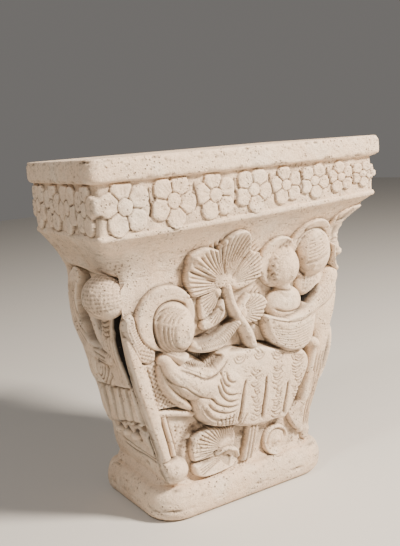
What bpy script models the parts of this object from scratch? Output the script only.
"""Cast stone capital with a flat back: a rounded foot slab, a bell carved with figures and leaves,
a frieze of flowers and a plain top band, all one casting. Metres, +Z up, front towards -Y,
origin in the middle of the underside's bounding box."""
from math import cos, hypot, pi, radians, sin

import bpy
import numpy as np

# Driving dimensions, metres
HEIGHT = 0.388
TOP_WIDTH = 0.352
TOP_DEPTH = 0.188
BAND_HEIGHT = 0.021
FRIEZE_HEIGHT = 0.046
FRIEZE_INSET = 0.008
FILLET_HEIGHT = 0.006
FILLET_PROUD = 0.002
FLARE_HEIGHT = 0.053
FLARE_REACH = 0.0285
FLARE_LIP = 0.0015
NECK_WIDTH = 0.278
NECK_DEPTH = 0.145
BLOCK_WIDTH = 0.202
BLOCK_TAPER = 0.006
BLOCK_FRONT_TAPER = 0.002
BLOCK_DEPTH = 0.124
BLOCK_HEIGHT = 0.042
FOOT_WIDTH = 0.234
FOOT_DEPTH = 0.139
FOOT_HEIGHT = 0.036
FOOT_OFFSET = 0.006
FOOT_ROUNDING = 0.7
SIDE_DRAW = 0.06
FRIEZE_CLIMB = 0.010
CARVING_DEPTH = 1.0

# Corner radii in plan, metres
FOOT_CORNER = 0.036
BELL_CORNER = 0.003
FLARE_CORNER = 0.020
FRIEZE_CORNER = 0.007
BAND_CORNER = 0.009
BACK_CORNER = 0.003
FOOT_BACK_CORNER = 0.010
BAND_WEAR = 0.004

# Fineness of the surface
MESH_STEP = 0.0021
FACETS = 9800

# Size of the pattern that the carving is drawn on, millimetres: its places and depths are in it
PATTERN_TOP = 388.0
PATTERN_BAND_EDGE = 367.0
PATTERN_BELL_TOP = 321.0
PATTERN_FOOT_TOP = 36.0
PATTERN_BLOCK_TOP = 78.0
PATTERN_BLOCK_DEPTH = 124.0
PATTERN_NECK = 262.0
PATTERN_NECK_DEPTH = 145.0
PATTERN_HALF_WIDTH = 176.0
PATTERN_DEPTH = 188.0

STONE_COLOUR = (0.72, 0.62, 0.51, 1)
STONE_ROUGHNESS = 0.85
SHARP_EDGE = radians(40)

BELL_TOP = HEIGHT - BAND_HEIGHT - FRIEZE_HEIGHT
NECK_Z = BELL_TOP - FILLET_HEIGHT - FLARE_HEIGHT
BLOCK_Z = FOOT_HEIGHT + BLOCK_HEIGHT
MM = 0.001


def ease(low, high, value):
    """0 below low, 1 above high, and a smooth rise between them."""
    share = np.clip((value - low) / (high - low), 0, 1)
    return share * share * (3 - 2 * share)


def smooth_line(points, closed=False, steps=6):
    """A smooth line through the points; columns past the second, such as a radius, follow along."""
    p = np.array(points, float)
    if closed:
        p = np.vstack([p[-1], p, p[0], p[1]])
    else:
        p = np.vstack([2 * p[0] - p[1], p, 2 * p[-1] - p[-2]])
    line = []
    for a, b, c, d in zip(p[:-3], p[1:-2], p[2:-1], p[3:]):
        for t in np.arange(steps) / steps:
            bend = 2 * a - 5 * b + 4 * c - d
            twist = 3 * b - a - 3 * c + d
            line.append(0.5 * (2 * b + (c - a) * t + bend * t ** 2 + twist * t ** 3))
    if not closed:
        line.append(p[-2])
    return np.array(line)


class Panel:
    """One face of the pattern: where its surface points are, across and up, and how far each
    is carved out of the ground (h), all in millimetres."""

    def __init__(self, across, up):
        self.x = across
        self.z = up
        self.h = np.zeros_like(across)

    def within(self, low, high):
        """The surface points inside a rectangle."""
        inside_x = (self.x > low[0]) & (self.x < high[0])
        inside_z = (self.z > low[1]) & (self.z < high[1])
        return np.nonzero(inside_x & inside_z)[0]

    def along(self, line, reach):
        """The surface points near a line, their distance to it, and the line's other columns there."""
        found = self.within(line[:, :2].min(0) - reach, line[:, :2].max(0) + reach)
        x, z = self.x[found], self.z[found]
        nearest = np.full(len(found), np.inf)
        there = np.zeros((len(found), line.shape[1]))
        for a, b in zip(line[:-1], line[1:]):
            run = b[:2] - a[:2]
            t = np.clip(((x - a[0]) * run[0] + (z - a[1]) * run[1]) / max(run @ run, 1e-9), 0, 1)
            distance = np.hypot(x - a[0] - t * run[0], z - a[1] - t * run[1])
            closer = distance < nearest
            nearest[closer] = distance[closer]
            there[closer] = a + t[closer, None] * (b - a)
        near = nearest < reach
        return found[near], nearest[near], there[near]

    def inside(self, outline):
        """The surface points inside a closed outline, and how far in from its edge they are."""
        found = self.within(outline.min(0), outline.max(0))
        x, z = self.x[found], self.z[found]
        crossings = np.zeros(len(found), bool)
        nearest = np.full(len(found), np.inf)
        for a, b in zip(outline, np.roll(outline, -1, axis=0)):
            run = b - a
            if a[1] != b[1]:
                crossings ^= ((a[1] > z) != (b[1] > z)) & (x < a[0] + (z - a[1]) * run[0] / run[1])
            t = np.clip(((x - a[0]) * run[0] + (z - a[1]) * run[1]) / max(run @ run, 1e-9), 0, 1)
            nearest = np.minimum(nearest, np.hypot(x - a[0] - t * run[0], z - a[1] - t * run[1]))
        return found[crossings], nearest[crossings]

    def lift(self, found, height):
        """Brings the surface out to a height where it isn't out there already."""
        self.h[found] = np.maximum(self.h[found], height)

    def dome(self, centre, radii, height, turn=0.0, fullness=0.5):
        """A rounded boss, such as a head or a petal."""
        reach = max(radii)
        found = self.within((centre[0] - reach, centre[1] - reach), (centre[0] + reach, centre[1] + reach))
        dx, dz = self.x[found] - centre[0], self.z[found] - centre[1]
        c, s = cos(radians(turn)), sin(radians(turn))
        out = ((dx * c + dz * s) / radii[0]) ** 2 + ((dz * c - dx * s) / radii[1]) ** 2
        self.lift(found[out < 1], height * (1 - out[out < 1]) ** fullness)

    def bar(self, points, fullness=0.5):
        """A rounded limb, post or stem through points of (across, up, radius, height)."""
        line = smooth_line(points)
        found, distance, there = self.along(line, line[:, 2].max())
        out = np.clip(1 - (distance / there[:, 2]) ** 2, 0, 1)
        self.lift(found[out > 0], (there[:, 3] * out ** fullness)[out > 0])

    def plate(self, outline, height, edge, swell=0.0, curved=True):
        """A raised area with a rounded edge, which swells by another amount towards its middle."""
        outline = smooth_line(outline, closed=True) if curved else np.array(outline, float)
        found, depth = self.inside(outline)
        rounding = np.sqrt(1 - (1 - np.clip(depth / edge, 0, 1)) ** 2)
        top = height(self.x[found], self.z[found]) if callable(height) else height
        self.lift(found, (top + swell * (1 - np.exp(-depth / 12))) * rounding)

    def disc(self, centre, radius, height, dish, edge=3.0):
        """A halo: a flat disc whose middle is hollowed by dish."""
        low, high = (centre[0] - radius, centre[1] - radius), (centre[0] + radius, centre[1] + radius)
        found = self.within(low, high)
        out = np.hypot(self.x[found] - centre[0], self.z[found] - centre[1])
        rounding = np.sqrt(1 - (1 - np.clip((radius - out) / edge, 0, 1)) ** 2)
        kept = out < radius
        self.lift(found[kept], ((height - dish * (1 - (out / radius) ** 2)) * rounding)[kept])

    def groove(self, points, width, depth):
        """A rounded groove that fades out at its ends; with a negative depth, a ridge."""
        line = smooth_line(points)
        share = np.linspace(0, 1, len(line))
        found, distance, there = self.along(np.column_stack([line, share]), 2.2 * width)
        ends = ease(0, 0.12, there[:, 2]) * ease(0, 0.12, 1 - there[:, 2])
        self.h[found] -= depth * np.exp(-(distance / width) ** 2) * ends

    def hollow(self, outline, depth, edge):
        """Sinks an area below what is carved there already."""
        found, inward = self.inside(smooth_line(outline, closed=True))
        self.h[found] -= depth * ease(0, edge, inward)

    def cut_back(self, outline, height):
        """Takes an area back to a height where it stands out further."""
        found, inward = self.inside(smooth_line(outline, closed=True))
        self.h[found] = np.minimum(self.h[found], height)

    def fan(self, hub, first, last, count, inner, outer, width, depth):
        """Grooves that spread from a hub like a leaf's ribs, between two angles in degrees."""
        for angle in np.linspace(radians(first), radians(last), count):
            way = np.array([cos(angle), sin(angle)])
            self.groove([np.array(hub) + way * reach for reach in np.linspace(inner, outer, 4)], width, depth)


def carve_bed(panel):
    """The bed at the left: a woven pillow and mattress, two posts, a rail and the ball foot."""
    mattress = [(-121, 184), (-104, 184), (-90, 170), (-70, 150), (-66, 126), (-108, 129), (-115, 147),
                (-119, 167)]
    pillow = [(-138, 229), (-131, 209), (-121, 186), (-105, 187), (-106, 198), (-116, 215), (-126, 236)]
    panel.plate(mattress, 5.5, 2.5, curved=False)
    panel.plate(pillow, 8.5, 4)
    panel.bar([(-132, 208, 6, 6), (-128, 190, 8.5, 9), (-123, 170, 9.5, 10), (-116.5, 150, 9.5, 10),
               (-109.5, 125, 9.5, 10), (-103, 100, 8.5, 10), (-97, 78, 7.5, 10), (-94, 66, 7, 9)],
              fullness=0.35)
    panel.bar([(-108, 125, 3.8, 7), (-85, 122, 3.8, 7), (-60, 116, 3.8, 6)], fullness=0.35)
    panel.bar([(-95, 118, 3.2, 6), (-92, 102, 3.4, 6.5), (-88.5, 87, 3.4, 6.5), (-86, 72, 3.4, 6)])
    panel.dome((-84.5, 56), (16, 15), 17)


def carve_reclining_figure(panel):
    """The veiled figure on the bed, with its halo, and its body under a wrapped cloth."""
    panel.disc((-90, 225.5), 34, 10, 2.5)
    panel.dome((-81, 212), (23.5, 29), 25, turn=4)
    panel.bar([(-94, 182, 9, 17), (-88, 169, 13, 20), (-76, 157, 16, 21), (-58, 147, 18, 21),
               (-38, 140, 17, 20), (-20, 136, 12, 16)])
    panel.bar([(-99, 176, 5, 12), (-95, 158, 6.5, 13), (-86, 143, 6.5, 13), (-74, 131, 6, 12),
               (-64, 122, 4, 8)])


def carve_lap_cloth(panel):
    """The cloth over the figure's lap, with a swag over the knee and hanging pleats."""
    cloth = [(-48, 168), (-28, 177), (-10, 178), (2, 176), (15, 177), (30, 174), (50, 167), (76, 160),
             (90, 152), (94, 138), (88, 122), (80, 108), (74, 96), (60, 78), (46, 79), (30, 77), (14, 79),
             (-3, 84), (-12, 88), (-36, 98), (-60, 125), (-66, 140), (-60, 156)]
    knee = [(-64, 134), (-62, 121), (-57, 112), (-51, 103), (-43, 96.5), (-34, 92), (-22, 88.5),
            (-11, 87.5), (-7, 92), (-3, 105), (2, 120), (4, 140), (-10, 158), (-35, 160), (-55, 150)]
    panel.plate(cloth, 13.5, 6, swell=2.5)
    panel.plate(knee, 15, 9, swell=4)
    for top, bottom, depth in (((4, 142), (-7, 88), 4), ((31, 140), (24, 86), 4.5),
                               ((62, 128), (55, 84), 3.5), ((91, 132), (76, 92), 4)):
        middle = (bottom[0] * 0.4 + top[0] * 0.6, (top[1] + bottom[1]) / 2)
        panel.groove([top, middle, bottom], 2.4, depth)
    for share in np.linspace(0, 1, 5):
        across, up = -16 + 2 * share, 150 - 2 * share
        wide, deep = 12 + 20 * share, 20 + 32 * share
        panel.groove([(across - wide, up - 4), (across - 0.9 * wide, up - 0.5 * deep),
                      (across - 0.35 * wide, up - 0.93 * deep), (across + 0.2 * wide, up - deep),
                      (across + 0.62 * wide, up - 0.86 * deep)], 1.8, 2.2)


def carve_sleeve_and_arm(panel):
    """The wide mouth of the sleeve, and the forearm that reaches across to the leaf's stem."""
    panel.hollow([(-80, 176), (-66, 185), (-50, 182), (-35, 178), (-26, 175), (-30, 168), (-40, 160.5),
                  (-51, 158.5), (-62, 163), (-72, 170)], 8.5, 5)
    panel.groove([(-84, 175), (-74, 169), (-63, 162), (-51, 156.5), (-40, 157.5), (-29, 165.5)], 1.8, -2.0)
    panel.bar([(-61, 190, 7, 18), (-47, 188, 8.5, 19.5), (-31, 189, 8.5, 18.5), (-17, 197, 7.5, 15.5),
               (-6, 204.5, 6, 14)])


def carve_great_leaf(panel):
    """The palmette above the bed, its smaller leaflets and its forked stem."""
    leaf = [(-64, 287), (-50, 292), (-38, 290), (-31, 287.5), (-28, 293), (-16, 303), (-2, 303), (8, 293),
            (13, 281), (18, 277), (24, 275.5), (28, 269), (29, 257), (26, 248), (8, 241), (-3, 240),
            (-13, 245), (-30, 243), (-42, 241), (-57, 241), (-63, 250), (-67, 262), (-65, 275)]
    lobe_edges = ([(-66, 272), (-54, 264), (-40, 257), (-28, 251)],
                  [(-29, 292), (-24, 280), (-19, 268), (-16, 256)],
                  [(12, 283), (4, 270), (-4, 258), (-9, 251)])
    upper_leaflet = [(-22, 244), (-38, 243.5), (-49, 238), (-50, 226), (-47, 215), (-34, 220), (-26, 231)]
    lower_leaflet = [(-20, 233), (-18, 218), (-24, 210), (-40, 203), (-48, 206), (-47, 214), (-34, 218),
                     (-26, 229)]
    right_leaflet = [(0, 217), (14, 231), (30, 229), (38, 220), (35, 212), (33, 205), (25, 199), (10, 202)]
    hub = (-14, 247)
    panel.plate(leaf, lambda x, z: 5 + 5.5 * np.clip(np.hypot(x - hub[0], z - hub[1]) / 54, 0, 1), 3)
    panel.fan(hub, 8, 182, 13, 8, 52, 1.6, 2.0)
    for lobe_edge in lobe_edges:
        panel.groove(lobe_edge, 2.0, 2.4)
    panel.plate(upper_leaflet, 6.5, 3)
    panel.plate(lower_leaflet, 7.5, 3)
    panel.plate(right_leaflet, 7, 3)
    panel.fan((0, 213), -34, 46, 6, 10, 38, 1.4, 2.0)
    panel.bar([(-15, 244, 5, 11), (-12, 230, 5, 12.5), (-6, 216, 5.5, 14), (2, 203, 6, 15), (9, 190, 6.5, 16),
               (14, 176, 6.5, 16)], fullness=0.42)
    panel.bar([(-5, 215, 4, 12), (3, 223, 3.6, 11), (11, 231, 3, 9)], fullness=0.42)


def carve_child_in_basin(panel):
    """The child with its halo, standing in a deep basin."""
    basin = [(32, 206), (33, 192), (39, 176), (50, 164), (68, 157), (86, 158), (95, 170), (99, 186),
             (100, 200), (84, 202), (66, 200), (46, 203)]
    panel.disc((53, 260), 27, 8, 2)
    panel.dome((57.5, 254), (22.5, 22.5), 21)
    panel.dome((60, 214), (25, 20), 17)
    panel.bar([(57, 237, 9, 14), (59, 226, 12, 16)])
    panel.plate(basin, lambda x, z: 7 + 13 * np.sqrt(np.clip(1 - ((x - 66) / 37) ** 2, 0, 1)), 4)
    panel.groove([(34, 205), (44, 202), (62, 198), (80, 200), (96, 206)], 1.5, -1.6)


def carve_attendant(panel):
    """The attendant at the right-hand corner, with a halo, an arm across the basin and a long robe."""
    panel.disc((97, 267), 32, 7, 2.5)
    panel.dome((118, 206), (25, 42), 11)
    panel.dome((98, 232), (20, 17), 10)
    panel.dome((99.5, 263), (24.5, 25), 23)
    panel.bar([(125, 234, 13, 14), (118, 222, 13, 17), (105, 211, 11.5, 19), (93, 204, 9.5, 21),
               (76, 198, 7, 22), (58, 197, 4.5, 21)])
    panel.bar([(122, 190, 12, 8), (118, 165, 13, 10), (112, 140, 12, 11), (106, 115, 11, 11),
               (100, 90, 9, 10), (96, 65, 8, 8), (95, 46, 6, 5)], fullness=0.4)
    panel.bar([(103, 160, 6, 14), (99, 140, 6, 14), (95, 120, 6, 13), (91, 100, 6, 12), (88, 80, 5.5, 10),
               (87, 55, 5, 6)])
    panel.bar([(103, 122, 5, 13), (97, 104, 5, 13), (88, 90, 5, 11), (72, 80, 4, 8)])
    panel.dome((103, 160), (8, 8), 16)
    for fold in (0, 6, 12):
        panel.groove([(110 + fold, 150), (100 + 0.8 * fold, 100), (93 + 0.4 * fold, 52)], 1.6, 2.2)


def carve_corner_cloth(panel, front):
    """The leaf and the hanging cloth that wrap the right-hand front corner, on either of its faces."""
    cloth_at = 120 if front else -131
    if front:
        panel.plate([(120, 262), (118, 280), (124, 296), (138, 304), (156, 304), (164, 280), (156, 252)],
                    6, 4)
        panel.fan((126, 254), 34, 88, 5, 8, 46, 1.6, 1.8)
    else:
        panel.plate([(-168, 250), (-172, 304), (-146, 302), (-132, 288), (-130, 268), (-140, 252)], 6, 4)
        panel.fan((-152, 254), 48, 100, 5, 8, 46, 1.6, 1.8)
    panel.bar([(cloth_at + 8, 190, 9, 3), (cloth_at + 5, 165, 9, 6), (cloth_at, 140, 9, 8),
               (cloth_at - 5, 118, 9, 8), (cloth_at - 9, 104, 8, 6)], fullness=0.4)


def carve_lower_leaves(panel):
    """The small palmette, the fluted stem and the ring under the bed."""
    upper = [(-64, 66), (-64, 80), (-59, 88), (-47, 92), (-36, 92), (-24, 88), (-10, 87), (-6, 78), (-8, 62),
             (-20, 58), (-44, 56), (-60, 58)]
    lower = [(-62, 56), (-62, 45), (-52, 39), (-30, 38), (-10, 40), (-2, 48), (-4, 57), (-16, 62), (-30, 60),
             (-46, 54)]
    panel.plate(upper, lambda x, z: 4 + 5 * np.clip(np.hypot((x + 20) / 44, (z - 60) / 34), 0, 1), 3)
    panel.fan((-20, 60), 60, 178, 9, 8, 38, 1.5, 1.8)
    panel.plate(lower, lambda x, z: 4 + 6 * np.clip(np.hypot((x + 6) / 52, (z - 50) / 20), 0, 1), 3)
    panel.fan((-8, 52), 155, 200, 6, 8, 50, 1.4, 1.7)
    panel.bar([(-32, 59, 2, 8), (-20, 62, 3, 10), (-8, 58, 3, 10), (-4, 50, 2.5, 8)])
    panel.plate([(10, 82), (28, 82), (22, 62), (14, 41), (-1, 41), (6, 60)], 11, 4, curved=False)
    for flute in (5.5, 11.0):
        panel.groove([(12 + flute, 84), (6 + flute, 62), (-1 + flute, 38)], 1.6, 2.5)
    panel.disc((50, 53), 18.5, 7, 2)
    panel.groove([(39, 45), (38, 55), (43, 63), (52, 65), (60, 60), (61, 51)], 1.6, 2.5)
    panel.dome((50, 52.5), (9.5, 9.5), 8)


def carve_side_figure(panel, bowed_head):
    """A side of the bell: a winged figure in a long robe, over a ledge with three nail heads. Its
    head, bowed at the front corner, shows on the left side only; on the right side the attendant
    is in its place. Across runs from 0 at the back to minus the depth at the front."""
    front_plane = np.interp(panel.z, (PATTERN_BLOCK_TOP, PATTERN_NECK),
                            (PATTERN_BLOCK_DEPTH, PATTERN_NECK_DEPTH))
    behind_corner = ease(1, 7, panel.x + front_plane)
    bell = ease(98, 106, panel.z) * (1 - ease(268, 280, panel.z))
    panel.h -= 12 * behind_corner * bell
    panel.bar([(-114, 238, 17, 4), (-112, 212, 21, 5), (-104, 190, 24, 5), (-97, 166, 28, 3),
               (-92, 150, 30, 1)], fullness=0.4)
    panel.bar([(-34, 267, 8, -2), (-20, 254, 12, -1), (-13, 236, 13, 0), (-13, 214, 13, 1), (-20, 196, 13, 2),
               (-34, 181, 12, 2), (-46, 172, 8, 0)], fullness=0.35)
    panel.bar([(-60, 234, 5, -4), (-68, 217, 6, -3), (-77, 204, 6, -3), (-84, 194, 5, -4)])
    panel.groove([(-64, 234), (-73, 220), (-82, 206), (-90, 195)], 1.9, 5)
    panel.groove([(-43, 266), (-38, 250), (-32, 232)], 2.8, 8)
    panel.bar([(-44, 184, 7, 3), (-66, 182, 8.5, 7), (-90, 182, 8.5, 9), (-106, 184, 6, 8)])
    panel.dome((-66, 161), (19, 17), 7)
    panel.bar([(-32, 178, 9, 2), (-23, 160, 11, 4), (-20, 146, 11, 4), (-30, 138, 8, 1)])
    skirt = [(-128, 154), (-94, 148), (-61, 142), (-33, 137), (-2, 134), (2, 84), (-30, 90), (-56, 98),
             (-90, 108), (-127, 116)]
    panel.cut_back(skirt, -9)
    for top, bottom in (((-14, 138), (-2, 88)), ((-45, 141), (-26, 92)), ((-72, 146), (-52, 99)),
                        ((-94, 150), (-80, 107)), ((-116, 154), (-108, 114))):
        middle = ((top[0] + bottom[0]) / 2 - 2, (top[1] + bottom[1]) / 2)
        panel.bar([(*top, 8, -2), (*middle, 9, -1), (*bottom, 9.5, 1)], fullness=0.4)
    panel.groove([(-124, 154), (-94, 148), (-61, 142), (-33, 137), (-6, 134)], 1.8, 2.6)
    panel.groove([(-124, 115), (-90, 106), (-56, 97), (-30, 89), (-4, 84)], 1.8, 3.0)
    if bowed_head:
        panel.dome((-117, 252), (25, 25), 26, fullness=0.42)
    panel.plate([(-128, 98), (-80, 97), (-20, 92), (-18, 71), (-70, 70), (-128, 72)], 2.5, 2.5, curved=False)
    for across, up in ((-45, 84.5), (-68, 87.5), (-92, 90.5)):
        panel.dome((across, up), (6, 4.2), 7)
    slot = [(-139, 248), (-135, 246), (-128, 232), (-123, 215), (-122, 195), (-123, 172), (-122, 150),
            (-120, 125), (-118, 100), (-116, 66), (-119, 66), (-122, 92), (-124.5, 115), (-127.5, 140),
            (-130, 165), (-133, 190), (-136, 215), (-138, 236)]
    panel.hollow(slot, 19, 2.5)


def carve_flower(panel, centre, radius, turn, height):
    """A flower of five flat petals round a boss."""
    for petal in range(5):
        angle = radians(turn + 72 * petal)
        at = (centre[0] + cos(angle) * radius * 0.58, centre[1] + sin(angle) * radius * 0.58)
        panel.dome(at, (radius * 0.46, radius * 0.41), height, turn=turn + 72 * petal, fullness=0.22)
    panel.dome(centre, (radius * 0.24, radius * 0.24), height * 1.15, fullness=0.3)


def carve_frieze(panel, places, radii, height):
    """A row of flowers along the frieze, turned alternately."""
    middle = (PATTERN_BELL_TOP + PATTERN_BAND_EDGE) / 2
    for number, (place, radius) in enumerate(zip(places, radii)):
        carve_flower(panel, (place, middle), radius, 98 if number % 2 == 0 else 60, height)
    panel.h *= 1 - ease(PATTERN_BAND_EDGE - 4, PATTERN_BAND_EDGE - 1, panel.z)


def rows_of_the_body():
    """The plain body's rows from the underside up: height, half width, depth, front corner radius
    and back corner radius."""
    rows = []
    slab_round = FOOT_HEIGHT / 2
    for angle in np.linspace(-pi / 2, pi / 2, 15):
        inset = slab_round * FOOT_ROUNDING * (1 - cos(angle) ** 0.6)
        up = slab_round * (1 + sin(angle))
        rows.append((up, FOOT_WIDTH / 2 - inset, FOOT_DEPTH - inset, FOOT_CORNER - inset * 0.5,
                     FOOT_BACK_CORNER))
    for share in (0.15, 0.4, 1.0):
        taper = (1 - share) ** 2
        rows.append((FOOT_HEIGHT + BLOCK_HEIGHT * share, BLOCK_WIDTH / 2 - BLOCK_TAPER * taper,
                     BLOCK_DEPTH - BLOCK_FRONT_TAPER * taper, BELL_CORNER, BACK_CORNER))
    for share in np.linspace(0.05, 1, 20):
        half = BLOCK_WIDTH / 2 + (NECK_WIDTH - BLOCK_WIDTH) / 2 * sin(share * pi / 2)
        rows.append((BLOCK_Z + (NECK_Z - BLOCK_Z) * share, half,
                     BLOCK_DEPTH + (NECK_DEPTH - BLOCK_DEPTH) * share, BELL_CORNER, BACK_CORNER))
    frieze_half = TOP_WIDTH / 2 - FRIEZE_INSET
    frieze_depth = TOP_DEPTH - FRIEZE_INSET
    for share in np.linspace(0.1, 1, 10):
        curl = 1 - cos(share * pi / 2)
        corner = BELL_CORNER + FLARE_CORNER * sin(share * pi)
        rows.append((NECK_Z + FLARE_HEIGHT * share, NECK_WIDTH / 2 + FLARE_REACH * curl,
                     NECK_DEPTH + (frieze_depth - FLARE_LIP - NECK_DEPTH) * curl, corner, BACK_CORNER))
    roll = FILLET_HEIGHT / 2
    for angle in np.linspace(-pi / 2, pi / 2, 5):
        proud = FILLET_PROUD * cos(angle)
        rows.append((BELL_TOP - roll + roll * sin(angle), frieze_half + proud, frieze_depth + proud,
                     BELL_CORNER, BACK_CORNER))
    rows.append((BELL_TOP + FRIEZE_HEIGHT - FLARE_LIP, frieze_half, frieze_depth, FRIEZE_CORNER, BACK_CORNER))
    underside_wear = BAND_WEAR * 0.6
    for angle in np.linspace(-pi / 2, 0, 4):
        inset = underside_wear * (1 - cos(angle))
        rows.append((HEIGHT - BAND_HEIGHT + underside_wear * (1 + sin(angle)), TOP_WIDTH / 2 - inset,
                     TOP_DEPTH - inset, BAND_CORNER, BAND_CORNER))
    for angle in np.linspace(0, pi / 2, 5):
        inset = BAND_WEAR * (1 - cos(angle))
        rows.append((HEIGHT - BAND_WEAR + BAND_WEAR * sin(angle), TOP_WIDTH / 2 - inset, TOP_DEPTH - inset,
                     BAND_CORNER, BAND_CORNER))
    return np.array(rows)


def finer_rows(rows):
    """The rows again, with more between them wherever they stand further apart than the mesh step."""
    fine = [rows[0]]
    for low, high in zip(rows[:-1], rows[1:]):
        gap = hypot(high[0] - low[0], high[2] - low[2])
        count = max(1, round(gap / MESH_STEP))
        for number in range(1, count + 1):
            fine.append(low + (high - low) * number / count)
    return np.array(fine)


def plan_outline(half, depth, front_corner, back_corner, counts):
    """One row's outline, seen from above, from the middle of the back round by the left side to
    the front and back again: places (the back at 0) and the ways that they face."""
    sides = []
    corners = (((-half, 0), back_corner, pi / 2), ((-half, -depth), front_corner, pi),
               ((half, -depth), front_corner, 3 * pi / 2), ((half, 0), back_corner, 2 * pi))
    for (x, y), radius, start in corners:
        centre = np.array([x - np.sign(x) * radius, y + (radius if y < 0 else -radius)])
        for angle in np.linspace(start, start + pi / 2, counts["corner"]):
            way = np.array([cos(angle), sin(angle)])
            sides.append((centre + radius * way, way))
    places, ways = [], []
    straights = (counts["side"], counts["front"], counts["side"], counts["back"])
    for number, count in enumerate(straights):
        first = (number + 1) * counts["corner"] - 1
        after = (first + 1) % len(sides)
        for corner_point in range(number * counts["corner"], first + 1):
            places.append(sides[corner_point][0])
            ways.append(sides[corner_point][1])
        for share in np.arange(1, count) / count:
            places.append(sides[first][0] * (1 - share) + sides[after][0] * share)
            ways.append(sides[first][1])
    return np.array(places), np.array(ways)


def pattern_height(up):
    """Where a height on the part falls on the carving's pattern, in millimetres."""
    ours = [0, FOOT_HEIGHT, BELL_TOP, HEIGHT]
    drawn = [0, PATTERN_FOOT_TOP, PATTERN_BELL_TOP, PATTERN_TOP]
    return np.interp(up, ours, drawn)


def soften(height):
    """Rounds the carving's steps a little, as a mould does: each point takes a share of its
    neighbours' heights, up, down and along."""
    beside = np.roll(height, 1, axis=1) + np.roll(height, -1, axis=1)
    above = np.vstack([height[1:], height[-1:]])
    below = np.vstack([height[:1], height[:-1]])
    return 0.52 * height + 0.12 * (beside + above + below)


def carved_points():
    """The surface points of the whole capital, row by row."""
    counts = {"corner": 6, "side": round(0.125 / MESH_STEP), "front": round(0.29 / MESH_STEP), "back": 40}
    places, ways, ups = [], [], []
    for up, half, depth, front_corner, back_corner in finer_rows(rows_of_the_body()):
        place, way = plan_outline(half, depth, front_corner, back_corner, counts)
        draw = SIDE_DRAW * min(1, up / FOOT_HEIGHT / 2)
        narrower = 1 - draw * np.clip(place[:, 1] + depth - BAND_CORNER, 0, None) / half
        shift = FOOT_OFFSET * (1 - ease(0, BLOCK_HEIGHT, up - FOOT_HEIGHT * 0.8))
        place[:, 0] = place[:, 0] * narrower + shift
        places.append(place)
        ways.append(way)
        ups.append(np.full(len(place), up))
    places, ways, up = np.array(places), np.array(ways), np.array(ups)
    drawn_up = pattern_height(up)
    across_front = places[..., 0] * PATTERN_HALF_WIDTH / (TOP_WIDTH / 2)
    across_side = places[..., 1] * PATTERN_DEPTH / TOP_DEPTH
    front = Panel(across_front.ravel(), drawn_up.ravel())
    for carve in (carve_bed, carve_reclining_figure, carve_lap_cloth, carve_sleeve_and_arm,
                  carve_great_leaf, carve_child_in_basin, carve_attendant, carve_lower_leaves):
        carve(front)
    carve_frieze(front, (-141, -90, -43, 3, 44, 82, 119, 151), (26, 25, 24, 23, 21, 20, 19, 17), 4.5)
    side = Panel(across_side.ravel(), drawn_up.ravel())
    right = Panel(across_side.ravel(), drawn_up.ravel())
    for panel in (side, right):
        carve_side_figure(panel, bowed_head=panel is side)
        carve_frieze(panel, (-158, -113, -68, -23), (23, 23, 23, 22), 4.5)
    carve_corner_cloth(front, front=True)
    carve_corner_cloth(right, front=False)
    front_height = soften(front.h.reshape(up.shape))
    side_height = soften(side.h.reshape(up.shape)) * ease(0, 6, -across_side)
    right_height = soften(right.h.reshape(up.shape)) * ease(0, 6, -across_side)
    depth_scale = CARVING_DEPTH * MM
    turned_front = ease(0.05, 0.6, -ways[..., 1])
    turned_left = ease(0.05, 0.6, -ways[..., 0])
    turned_right = ease(0.05, 0.6, ways[..., 0])
    x = places[..., 0] + depth_scale * (right_height * turned_right - side_height * turned_left)
    y = places[..., 1] - front_height * depth_scale * turned_front
    along = np.clip(0.5 + x / TOP_WIDTH, 0, 1)
    climb = FRIEZE_CLIMB * (along ** 1.6 - 0.2)
    at_frieze = ease(NECK_Z - 0.030, BELL_TOP - 0.020, up) * (1 - ease(BELL_TOP, HEIGHT - BAND_HEIGHT, up))
    return np.stack([x, y + TOP_DEPTH / 2, up + climb * at_frieze], axis=-1)


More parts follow.
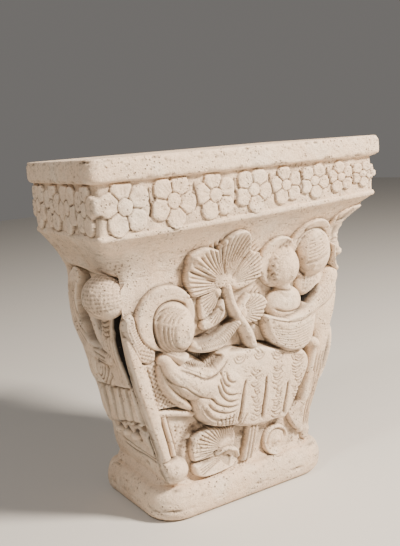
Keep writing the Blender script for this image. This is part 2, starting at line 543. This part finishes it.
def capital_mesh():
    """Joins the rows of points with faces, and closes the underside and the top."""
    points = carved_points()
    row_count, column_count = points.shape[:2]
    faces = []
    for row in range(row_count - 1):
        for column in range(column_count):
            beside = (column + 1) % column_count
            low, high = row * column_count, (row + 1) * column_count
            faces.append((low + column, low + beside, high + beside, high + column))
    faces.append(tuple(reversed(range(column_count))))
    faces.append(tuple(range((row_count - 1) * column_count, row_count * column_count)))
    mesh = bpy.data.meshes.new("capital")
    mesh.from_pydata(points.reshape(-1, 3).tolist(), [], faces)
    mesh.update()
    return mesh


def stone_material():
    """Warm off-white cast stone, matt."""
    material = bpy.data.materials.new("cast_stone")
    material.use_nodes = True
    shader = material.node_tree.nodes["Principled BSDF"]
    shader.inputs["Base Color"].default_value = STONE_COLOUR
    shader.inputs["Roughness"].default_value = STONE_ROUGHNESS
    shader.inputs["Metallic"].default_value = 0.0
    material.diffuse_color = STONE_COLOUR
    return material


def flatten_beds(mesh):
    """Trues the three flat faces: the underside, the top and the back."""
    back = TOP_DEPTH / 2
    tolerance = 0.0004
    for vertex in mesh.vertices:
        if vertex.co.z < tolerance:
            vertex.co.z = 0
        if vertex.co.z > HEIGHT - tolerance:
            vertex.co.z = HEIGHT
        if vertex.co.y > back - tolerance:
            vertex.co.y = back


def build_capital():
    """Makes the capital: the fine surface, thinned to the facets that a solid can carry."""
    collection = bpy.data.collections.new("cast_stone_capital")
    bpy.context.scene.collection.children.link(collection)
    capital = bpy.data.objects.new("capital", capital_mesh())
    collection.objects.link(capital)
    triangles = sum(len(face.vertices) - 2 for face in capital.data.polygons)
    thinning = capital.modifiers.new("thinning", "DECIMATE")
    thinning.ratio = FACETS / triangles
    thinning.use_collapse_triangulate = True
    evaluated = capital.evaluated_get(bpy.context.evaluated_depsgraph_get())
    thinned = bpy.data.meshes.new_from_object(evaluated)
    capital.modifiers.remove(thinning)
    capital.data = thinned
    flatten_beds(thinned)
    thinned.materials.append(stone_material())
    thinned.shade_smooth()
    thinned.set_sharp_from_angle(angle=SHARP_EDGE)


for leftover in list(bpy.data.objects):
    bpy.data.objects.remove(leftover)
build_capital()
